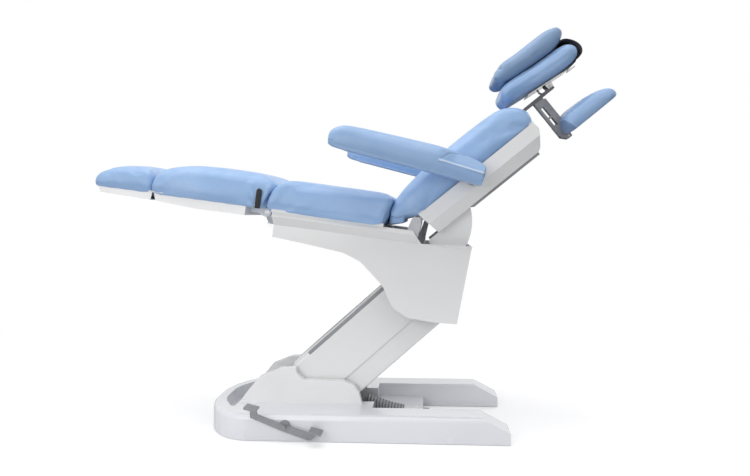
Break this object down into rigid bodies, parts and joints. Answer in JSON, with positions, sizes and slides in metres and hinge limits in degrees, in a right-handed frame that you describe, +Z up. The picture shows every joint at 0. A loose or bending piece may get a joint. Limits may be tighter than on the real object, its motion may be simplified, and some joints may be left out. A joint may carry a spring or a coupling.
{
  "type": "facial bed",
  "caption": "Electric treatment couch: cushioned seat, back, leg, foot and head sections, swing-up armrests and a foot bar on a parallelogram lift column over a U-shaped base.",
  "frame": {"origin": "on the floor at the middle of the base, on the plane that splits the couch left and right", "axes": "+X to the head end, +Y to the left of a person lying on the back, +Z up"},
  "size_m": [1.8721, 0.771, 1.4415],
  "materials": {
    "white_shell": "glossy moulded ABS",
    "blue_vinyl": "soft grained upholstery vinyl",
    "grey_panel": "fine textured plastic",
    "dark_metal": "powder coat",
    "grey_metal": "powder coat",
    "steel": "machined",
    "chrome": "polished",
    "black_plastic": "satin",
    "rubber": "matt",
    "grey_rubber": "folded",
    "plywood": "raw board",
    "webbing": "woven elastic",
    "blue_plastic": "soft-sheen moulded plastic"
  },
  "bodies": {
    "base": {"base_plate": "dark_metal", "levelling_feet": "rubber", "base_cover": "white_shell", "column_cheeks": "white_shell", "floor_pan": "grey_panel", "base_brackets": "grey_metal", "lower_axles": "steel", "control_box": "black_plastic", "power_inlet": "black_plastic", "column_bellows": "grey_rubber", "rocker_pivot": "steel"},
    "foot_bar": {"rocker_bar": "chrome"},
    "upper_arm": {"main_arm": "grey_metal", "column_cover": "white_shell", "column_panel": "white_shell"},
    "lower_arm": {"lower_link": "grey_metal", "lower_cover": "white_shell"},
    "carriage": {"carriage_plates": "grey_metal", "upper_axles": "steel"},
    "lift_tube": {"lift_motor": "black_plastic"},
    "lift_shaft": {"lift_rod": "chrome"},
    "seat": {"seat_frame": "dark_metal", "seat_shroud": "white_shell", "seat_board": "plywood", "seat_cushion": "blue_vinyl", "hinge_pins": "steel"},
    "tilt_tube": {"tilt_motor": "black_plastic"},
    "tilt_shaft": {"tilt_rod": "chrome"},
    "back_tube": {"back_motor": "black_plastic"},
    "back_shaft": {"back_rod": "chrome"},
    "leg_tube": {"leg_motor": "black_plastic"},
    "leg_shaft": {"leg_rod": "chrome"},
    "back": {"back_frame": "dark_metal", "back_board": "plywood", "back_shell": "white_shell", "back_panel": "grey_panel", "back_cushion": "blue_vinyl", "post_socket": "dark_metal", "armrest_bolts": "steel"},
    "leg": {"leg_frame": "dark_metal", "leg_board": "plywood", "leg_cushion": "blue_vinyl", "leg_shell": "white_shell"},
    "foot": {"foot_slides": "dark_metal", "foot_cushion": "blue_vinyl", "foot_shell": "white_shell"},
    "armrest_left": {"armrest_board_left": "blue_plastic", "armrest_pad_left": "blue_vinyl"},
    "armrest_right": {"armrest_board_right": "blue_plastic", "armrest_pad_right": "blue_vinyl"},
    "head_support": {"head_post": "chrome", "head_pins": "steel", "ratchet_box": "chrome"},
    "head": {"head_plate": "steel", "head_pad": "blue_vinyl", "pillow": "blue_vinyl", "pillow_strap": "webbing", "strap_buckle": "chrome"},
    "neck": {"neck_plate": "steel", "neck_pad": "blue_vinyl"}
  },
  "joints": [
    {"name": "foot_bar", "type": "hinge", "parent": "base", "child": "foot_bar", "pos_m": [-0.22, 0, 0.058], "axis": [0, -1, 0], "range_deg": [-5, 5], "stiffness_Nm_per_rad": 35},
    {"name": "lift", "type": "hinge", "parent": "base", "child": "upper_arm", "pos_m": [-0.15, 0, 0.202], "axis": [0, -1, 0], "range_deg": [-36.5, 4], "deforming": ["column_bellows"]},
    {"name": "lower_arm_turn", "type": "hinge", "parent": "base", "child": "lower_arm", "pos_m": [-0.08, 0, 0.0854], "axis": [0, -1, 0], "range_deg": [-36.6, 4.1]},
    {"name": "carriage_level", "type": "hinge", "parent": "upper_arm", "child": "carriage", "pos_m": [0.23946, 0, 0.54656], "axis": [0, -1, 0], "range_deg": [-4.1, 36.6]},
    {"name": "lift_tube_turn", "type": "hinge", "parent": "base", "child": "lift_tube", "pos_m": [-0.02, 0, 0.06], "axis": [0, -1, 0], "range_deg": [-30.7, 3.54]},
    {"name": "lift_shaft_slide", "type": "slide", "parent": "lift_tube", "child": "lift_shaft", "axis": [0.3089, 0, 0.9511], "range_m": [-0.11508, 0.01306]},
    {"name": "seat_tilt", "type": "hinge", "parent": "carriage", "child": "seat", "pos_m": [0.17, 0, 0.66], "axis": [0, -1, 0], "range_deg": [-4.5, 7.5]},
    {"name": "tilt_tube_turn", "type": "hinge", "parent": "carriage", "child": "tilt_tube", "pos_m": [0.30946, 0, 0.42996], "axis": [0, -1, 0], "range_deg": [-0.69, 0.49]},
    {"name": "tilt_shaft_slide", "type": "slide", "parent": "tilt_tube", "child": "tilt_shaft", "axis": [-0.0871, 0, 0.9962], "range_m": [-0.00978, 0.01597]},
    {"name": "back", "type": "hinge", "parent": "seat", "child": "back", "pos_m": [0.23244, 0, 0.76273], "axis": [0, -1, 0], "range_deg": [-39, 22]},
    {"name": "back_tube_turn", "type": "hinge", "parent": "seat", "child": "back_tube", "pos_m": [-0.153, 0, 0.7348], "axis": [0, -1, 0], "range_deg": [-1.24, 0.79]},
    {"name": "back_shaft_slide", "type": "slide", "parent": "back_tube", "child": "back_shaft", "axis": [0.9933, 0, -0.1153], "range_m": [-0.05433, 0.03087]},
    {"name": "leg", "type": "hinge", "parent": "seat", "child": "leg", "pos_m": [-0.30542, 0, 0.79521], "axis": [0, -1, 0], "range_deg": [0, 75]},
    {"name": "leg_tube_turn", "type": "hinge", "parent": "seat", "child": "leg_tube", "pos_m": [-0.02568, 0, 0.70593], "axis": [0, -1, 0], "range_deg": [-0.448, 0.2]},
    {"name": "leg_shaft_slide", "type": "slide", "parent": "leg_tube", "child": "leg_shaft", "axis": [-0.9882, 0, 0.1532], "range_m": [-0.06122, 0.0005]},
    {"name": "foot_slide", "type": "slide", "parent": "leg", "child": "foot", "axis": [0.9914, 0, -0.1305], "range_m": [-0.1, 0]},
    {"name": "armrest_left", "type": "hinge", "parent": "back", "child": "armrest_left", "pos_m": [0.42603, 0, 0.90662], "axis": [0, 1, 0], "range_deg": [0, 75]},
    {"name": "armrest_right", "type": "hinge", "parent": "back", "child": "armrest_right", "pos_m": [0.42603, 0, 0.90662], "axis": [0, 1, 0], "range_deg": [0, 75]},
    {"name": "head_extension", "type": "slide", "parent": "back", "child": "head_support", "axis": [0.7771, 0, 0.6293], "range_m": [0, 0.06]},
    {"name": "head_tilt", "type": "hinge", "parent": "head_support", "child": "head", "pos_m": [0.72144, 0, 1.26165], "axis": [0, 1, 0], "range_deg": [0, 25]},
    {"name": "neck_tilt", "type": "hinge", "parent": "head_support", "child": "neck", "pos_m": [0.79482, 0, 1.08045], "axis": [0, 1, 0], "range_deg": [0, 70]}
  ],
  "couplings": [
    {"joint": "lower_arm_turn", "follows": "lift", "ratio": 1},
    {"joint": "carriage_level", "follows": "lift", "ratio": -1},
    {"joint": "lift_tube_turn", "follows": "lift", "ratio": 0.8357},
    {"joint": "lift_shaft_slide", "follows": "lift", "m_per_rad": 0.17986},
    {"joint": "tilt_tube_turn", "follows": "seat_tilt", "ratio": -0.0648},
    {"joint": "tilt_shaft_slide", "follows": "seat_tilt", "m_per_rad": 0.11822},
    {"joint": "back_tube_turn", "follows": "back", "ratio": 0.0266},
    {"joint": "back_shaft_slide", "follows": "back", "m_per_rad": 0.07909},
    {"joint": "leg_tube_turn", "follows": "leg", "ratio": -0.0033},
    {"joint": "leg_shaft_slide", "follows": "leg", "m_per_rad": -0.04639}
  ]
}
